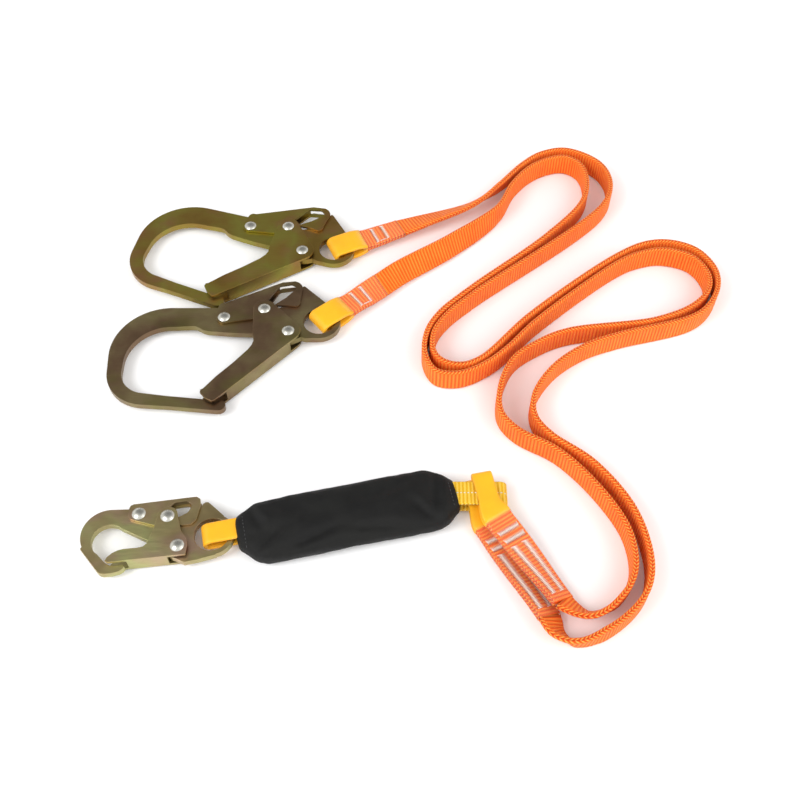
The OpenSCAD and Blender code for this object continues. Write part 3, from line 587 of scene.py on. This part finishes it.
def sewn_pieces(letter, where, end, rows):
    """The eye, its wear sleeve, the film and the stitching of one sewn end."""
    stem = f"leg_{letter}_{where}"
    eye = end.layer(stem + "_band", end.length, 0, eye_cloth, "absorber")
    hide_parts(stem + "_eye")
    sleeve = end.layer(stem + "_sleeve", end.sleeve, SLEEVE_T, sleeve_cloth, "absorber", 0.12)
    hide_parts(stem + "_wear_sleeve")
    wrap = end.film(stem + "_film", "absorber")
    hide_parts(stem + "_shrink_sleeve")
    paths = [end.zigzag(*row, side) for row in rows for side in (1, -1)]
    stitches = threads(stem + "_threads", paths, THREAD_R, thread_cloth, "absorber")
    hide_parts(stem + "_stitching")


# The eye of each hook turns about this point
EYES = {j["name"]: Vector(j["pos_m"]) for j in frame["joints"] if j["name"].endswith("_swivel")}
# Half the gap in an eye's webbing, round a hook's bar and round the ribbed loop
EYE_HALF, LINK_HALF = 5.55 * MM, 3.5 * MM
# Heights of the hooks' bars, and of the ribbed loop's two strands
HOOK_Z = 10.95 * MM
LOOP_LOW, LOOP_HIGH = 5.7 * MM, 16.7 * MM


def fold_at(swivel, aim, back):
    """The fold's middle on the floor, a little behind a hook's turning point."""
    place = EYES[swivel] - heading(aim) * back
    return Vector((place.x, place.y, 0))


def at_hook(swivel, aim, length, far_roll):
    return SewnEnd(fold_at(swivel, aim, 2 * MM), aim, aim, length, z=HOOK_Z, far_z=0.0115,
                   far_roll=far_roll, half=EYE_HALF, open_to=0.024, closed_from=0.042,
                   width=WEB_W, sleeve=0.035, film_from=0.030)


def at_pouch(fold, aim, aim_after, length, z, far_z):
    return SewnEnd(Vector(fold), aim, aim_after, length, z=z, far_z=far_z,
                   far_roll=-33, half=LINK_HALF, open_to=0.037, closed_from=0.054,
                   width=0.017, sleeve=0.046, film_from=0.045)


# How far each sewn end leans at its far end, in degrees
A_LEAN, B_LEAN = -9, 28
a_hook = at_hook("hook_a_swivel", 24.4, 0.078, A_LEAN)
b_hook = at_hook("hook_b_swivel", 39, 0.080, B_LEAN)
a_pouch = at_pouch((0.131, -0.100, 0), -75, -62.2, 0.1439, LOOP_LOW, 0.0116)
b_pouch = at_pouch((0.140, -0.098, 0), -78, -56.7, 0.1366, LOOP_HIGH, 0.014)
# Leg A is turned over on its way to the hook
leg("a", LEG_A_ROUTE, a_hook, 180 + A_LEAN, a_pouch)
leg("b", LEG_B_ROUTE, b_hook, B_LEAN, b_pouch)

# Each row of stitching: from and to along the end, then from and to across it
hook_rows = [(0.046, 0.050, -0.010, 0.010), (0.0575, 0.0615, -0.010, 0.010),
             (0.0505, 0.057, -0.010, -0.009)]
for letter, end in (("a", a_hook), ("b", b_hook)):
    sewn_pieces(letter, "hook", end, hook_rows)
for letter, end in (("a", a_pouch), ("b", b_pouch)):
    far = end.length - 8 * MM
    sewn_pieces(letter, "pack", end, [
        (0.058, 0.0635, -0.010, 0.010), (0.0665, 0.072, -0.010, 0.010),
        (0.076, far, -0.0096, -0.0028), (0.076, far, 0.002, 0.0088)])

# ---- The yellow loops at the pouch's two ends ----
POUCH_AIM = 12.4
POUCH = Matrix.Translation((0.023, -0.138, 0)) @ Matrix.Rotation(math.radians(POUCH_AIM), 4, "Z")
snap_end = SewnEnd(fold_at("snap_hook_swivel", POUCH_AIM, 7 * MM), POUCH_AIM, POUCH_AIM, 0.090,
                   z=HOOK_Z, far_z=HOOK_Z, far_roll=0, half=EYE_HALF, open_to=0.060,
                   closed_from=0.089, width=0.018, sleeve=0.036, film_from=0.060)
snap_band = snap_end.layer("snap_loop_band", 0.044, 0, loop_cloth, "absorber")
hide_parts("snap_hook_loop")
snap_sleeve = snap_end.layer("snap_loop_sleeve", snap_end.sleeve, SLEEVE_T, sleeve_cloth,
                             "absorber", 0.15)
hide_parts("snap_hook_wear_sleeve")


def leg_loop():
    """The ribbed loop that both legs hang on: out of the pouch, round, and back in."""
    low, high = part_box("leg_loop")
    start, y, bend = low[0], (low[1] + high[1]) / 2, 0.156
    half, mid = (LOOP_HIGH - LOOP_LOW) / 2, (LOOP_HIGH + LOOP_LOW) / 2
    count = round((bend - start) / STATION_STEP)
    line = [(mix(start, bend, i / count), LOOP_LOW, -90) for i in range(count)]
    for a in range(-90, 91, 10):
        line.append((bend + half * math.cos(math.radians(a)),
                     mid + half * math.sin(math.radians(a)), a))
    line += [(mix(bend, start, i / count), LOOP_HIGH, 90) for i in range(1, count + 1)]
    rows = []
    for x, z, a in line:
        out = Vector((math.cos(math.radians(a)), 0, math.sin(math.radians(a))))
        rows.append((Vector((x, y, z)), Vector((0, 1, 0)), out, section(LOOP_W, LAYER_T)))
    obj = sweep("leg_loop_band", rows, loop_cloth, "absorber")
    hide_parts("leg_loop")


leg_loop()

# ---- The pouch ----
# Share of the half length, half width, half height, height of the middle and sideways shift, in mm
POUCH_ROWS = [(-1, 14.6, 9.4, 11, 4.2), (-0.97, 15.4, 9.6, 11, 4), (-0.86, 26.0, 11.2, 12, 1),
              (-0.76, 28.8, 12.4, 13, 0), (-0.3, 28.9, 12.8, 13.4, 0), (0.3, 28.9, 12.8, 13.4, 0),
              (0.76, 28.8, 12.4, 13, 0), (0.86, 26.0, 11.2, 12, 0), (0.97, 15.4, 9.6, 11, 0),
              (1, 14.6, 9.4, 11, 0)]
POUCH_HALF = 0.0975
# How square the pouch's section is: 1 is an ellipse and 0 a box
SQUARE_WIDE, SQUARE_TALL = 0.5, 0.6


def pouch_shell():
    """A closed tube of rings, each a rounded box between the two nearest rows."""
    verts, faces = [], []
    stations, around = 48, 40
    for i in range(stations + 1):
        t = mix(-1, 1, i / stations)
        k = max(j for j in range(len(POUCH_ROWS) - 1) if POUCH_ROWS[j][0] <= t + 1e-9)
        a, b = POUCH_ROWS[k], POUCH_ROWS[k + 1]
        w = (t - a[0]) / (b[0] - a[0])
        half, tall, mid, shift = (mix(a[n], b[n], w) * MM for n in (1, 2, 3, 4))
        for j in range(around):
            c, s = math.cos(math.tau * j / around), math.sin(math.tau * j / around)
            verts.append((t * POUCH_HALF, shift + half * math.copysign(abs(c) ** SQUARE_WIDE, c),
                          mid + tall * math.copysign(abs(s) ** SQUARE_TALL, s)))
    for i in range(stations):
        for j in range(around):
            a, b = i * around + j, i * around + (j + 1) % around
            faces.append((a, a + around, b + around, b))
    faces.append(tuple(range(around)))
    faces.append(tuple(stations * around + j for j in reversed(range(around))))
    return make_mesh("pouch_start", verts, faces)


def evaluated(obj, name):
    """obj's mesh with its modifiers, as a new object in its place."""
    mesh = bpy.data.meshes.new_from_object(obj.evaluated_get(bpy.context.evaluated_depsgraph_get()))
    new = bpy.data.objects.new(name, mesh)
    bpy.context.collection.objects.link(new)
    bpy.data.objects.remove(obj)
    return new


CLOTH_FRAMES = 18


def swollen(obj, cap):
    """Blown up a little as cloth with its ends held, each point within cap of its start."""
    start = [v.co.copy() for v in obj.data.vertices]
    pin = obj.vertex_groups.new(name="pin")
    pin.add([i for i, p in enumerate(start) if abs(p.x) > POUCH_HALF * 0.96], 1.0, "REPLACE")
    cloth = obj.modifiers.new("cloth", "CLOTH").settings
    cloth.quality = 6
    cloth.mass = 0.25
    cloth.use_pressure = True
    cloth.uniform_pressure_force = 4.0
    cloth.vertex_group_mass = "pin"
    cloth.tension_stiffness = cloth.compression_stiffness = 25
    cloth.bending_stiffness = 0.6
    cloth.effector_weights.gravity = 0
    scene = bpy.context.scene
    for f in range(1, CLOTH_FRAMES + 1):
        scene.frame_set(f)
    new = evaluated(obj, "pouch_cloth")
    scene.frame_set(1)
    for v, p in zip(new.data.vertices, start):
        move = v.co - p
        if move.length > cap:
            v.co = p + move.normalized() * cap
    return new


def crease(p, at, angle, width, depth, reach):
    """How far a fold lifts p: a groove at angle with a low ridge beside it, fading out from at."""
    along = Vector((math.cos(math.radians(angle)), math.sin(math.radians(angle))))
    off = Vector((p.x - at[0], p.y - at[1]))
    across = off.x * along.y - off.y * along.x
    run = off.dot(along)
    groove = math.exp(-(across / width) ** 2)
    ridge = 0.6 * math.exp(-((across - 1.7 * width) / width) ** 2)
    return -depth * (groove - ridge) * math.exp(-(run / reach) ** 2)


# Place, direction in degrees, width, depth and reach of each fold, in the pouch's frame
FOLDS = [((0.078, 0.000), 78, 0.0045, 0.0028, 0.024), ((0.064, -0.014), 128, 0.0050, 0.0022, 0.018),
         ((-0.072, -0.012), 38, 0.0050, 0.0024, 0.020), ((-0.036, -0.019), 14, 0.0045, 0.0024, 0.028),
         ((-0.080, 0.012), 112, 0.0045, 0.0020, 0.014), ((0.024, -0.021), -10, 0.0045, 0.0022, 0.026),
         ((0.034, 0.014), 10, 0.0070, 0.0016, 0.034), ((-0.045, 0.012), -22, 0.0070, 0.0016, 0.024)]


def repaint(obj, material):
    """Give all of obj this one material."""
    obj.data.materials.clear()
    obj.data.materials.append(material)


def pouch():
    """The padded cover: a shell, swollen as cloth, then folded and puckered."""
    shell = pouch_shell()
    remesh = shell.modifiers.new("remesh", "REMESH")
    remesh.mode = "VOXEL"
    remesh.voxel_size = 3.4 * MM
    shell = evaluated(shell, "pouch_remeshed")
    shell = swollen(shell, 4.5 * MM)
    shell.modifiers.new("smooth", "SUBSURF").levels = 1
    cover = evaluated(shell, "pouch_cover")
    mesh = cover.data
    mesh.update()
    normals = [v.normal.copy() for v in mesh.vertices]
    for v, n in zip(mesh.vertices, normals):
        p = v.co.copy()
        top = smooth((n.z + 0.2) / 0.8)
        lift = sum(crease(p, *fold) for fold in FOLDS) * top
        slack = noise.noise(Vector((p.x * 26, p.y * 55, p.z * 40)))
        lift += 0.8 * MM * slack * (0.4 + 0.6 * top)
        lift += 0.35 * MM * noise.noise(p * 130)
        v.co = p + n * lift
        v.co.z = max(v.co.z, 0.6 * MM)
    mesh.transform(POUCH)
    mesh.polygons.foreach_set("use_smooth", [True] * len(mesh.polygons))
    repaint(cover, cover_cloth)
    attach(cover, "absorber")
    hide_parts("absorber_cover")
    return cover


def seam(surface, x, y0, y1, name):
    """A line of short stitches across the surface at x, in the pouch's frame."""
    tree = BVHTree.FromObject(surface, bpy.context.evaluated_depsgraph_get())
    count = round((y1 - y0) / (1.7 * MM))
    line = [Vector((x, mix(y0, y1, i / count), 0.05)) for i in range(count)]
    hits = [tree.ray_cast(POUCH @ p, -UP)[:2] for p in line]
    paths = []
    for (a, n), (b, m) in zip(hits[::2], hits[1::2]):
        paths.append([a - n * 0.2 * MM, mix(a, b, 0.3) + n * 0.3 * MM,
                      mix(a, b, 0.7) + m * 0.3 * MM, b - m * 0.2 * MM])
    threads(name, paths, 0.22 * MM, cover_thread, "absorber")


cover = pouch()
seam(cover, -0.0900, -0.014, 0.019, "cover_seam_left")
seam(cover, 0.0915, -0.013, 0.013, "cover_seam_right")
for node in ("tear_webbing", "backup_strap"):
    repaint(frame["nodes"][node], inner_cloth)


# ---- Hooks: the CAD plates with worn, rounded edges ----
def worn_edges(node, body, material, width):
    """A copy of the node's mesh, its flat faces whole again and its edges rounded."""
    obj = bpy.data.objects.new(node + "_worn", frame["nodes"][node].data.copy())
    bpy.context.collection.objects.link(obj)
    bm = bmesh.new()
    bm.from_mesh(obj.data)
    bmesh.ops.remove_doubles(bm, verts=bm.verts, dist=1e-6)
    bmesh.ops.dissolve_limit(bm, angle_limit=math.radians(1), verts=bm.verts, edges=bm.edges)
    for face in bm.faces:
        face.smooth = True
    bm.to_mesh(obj.data)
    bm.free()
    repaint(obj, material)
    bevel = obj.modifiers.new("edges", "BEVEL")
    bevel.width = width
    bevel.segments = 3
    bevel.limit_method = "ANGLE"
    bevel.angle_limit = math.radians(32)
    normals = obj.modifiers.new("normals", "WEIGHTED_NORMAL")
    normals.weight = 100
    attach(obj, body)
    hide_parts(node)


for hook, material, slot in (("hook_a", olive, "hook_steel"), ("hook_b", brown, "hook_steel"),
                             ("snap_hook", pale, "small_hook_steel")):
    worn_edges(hook + "_body", hook + "_frame", material, 0.9 * MM)
    worn_edges(hook + "_gate", hook + "_gate", material, 0.6 * MM)
    worn_edges(hook + "_lock_lever", hook + "_lever", material, 0.5 * MM)
for name, node in frame["nodes"].items():
    if name.endswith(("rivet", "catch_pin")):
        repaint(node, rivet_steel)
    elif name.endswith("_spring"):
        repaint(node, spring_steel)

# ---- Floor and light ----
REACH = 3.0
corners = [(-REACH, -REACH, 0), (REACH, -REACH, 0), (REACH, REACH, 0), (-REACH, REACH, 0)]
floor = make_mesh("floor", corners, [(0, 1, 2, 3)])
paper = Finish("paper", Base_Color=(0.93, 0.93, 0.93, 1), Roughness=0.9)
paper.bump(paper.noise(90.0), 0.1 * MM)
floor.data.materials.append(paper.material)
floor.location.z = cad_box[0][2] - 0.2 * MM

# Bright all round, with one broad darker patch high behind the part for the metal to mirror.
# Its edge, and where it is fully dark, are cosines of the angle from its middle.
PATCH_MIDDLE = (0.0, 0.566, 0.824)
PATCH_EDGE, PATCH_FULL = 0.55, 0.93
SKY_BRIGHT, SKY_DARK = 1.35, 0.38
world = bpy.data.worlds.new("studio")
world.use_nodes = True
sky = world.node_tree
direction = sky.nodes.new("ShaderNodeTexCoord")
toward = sky.nodes.new("ShaderNodeVectorMath")
toward.operation = "DOT_PRODUCT"
toward.inputs[1].default_value = PATCH_MIDDLE
patch = sky.nodes.new("ShaderNodeMapRange")
patch.interpolation_type = "SMOOTHSTEP"
for i, value in enumerate((PATCH_EDGE, PATCH_FULL, SKY_BRIGHT, SKY_DARK), 1):
    patch.inputs[i].default_value = value
sky.links.new(direction.outputs["Generated"], toward.inputs[0])
sky.links.new(toward.outputs["Value"], patch.inputs[0])
sky.links.new(patch.outputs[0], sky.nodes["Background"].inputs["Strength"])
sky.nodes["Background"].inputs["Color"].default_value = (1, 1, 1, 1)
bpy.context.scene.world = world


def soft_light(name, place, size, power):
    """A square lamp that looks at the part."""
    lamp = bpy.data.objects.new(name, bpy.data.lights.new(name, "AREA"))
    lamp.data.size = size
    lamp.data.energy = power
    lamp.location = place
    lamp.rotation_euler = (AIM - Vector(place)).to_track_quat("-Z", "Y").to_euler()
    bpy.context.collection.objects.link(lamp)


soft_light("key", (-1.0, -0.7, 1.3), 0.8, 14)
soft_light("fill", (1.2, -0.5, 1.0), 1.2, 7)
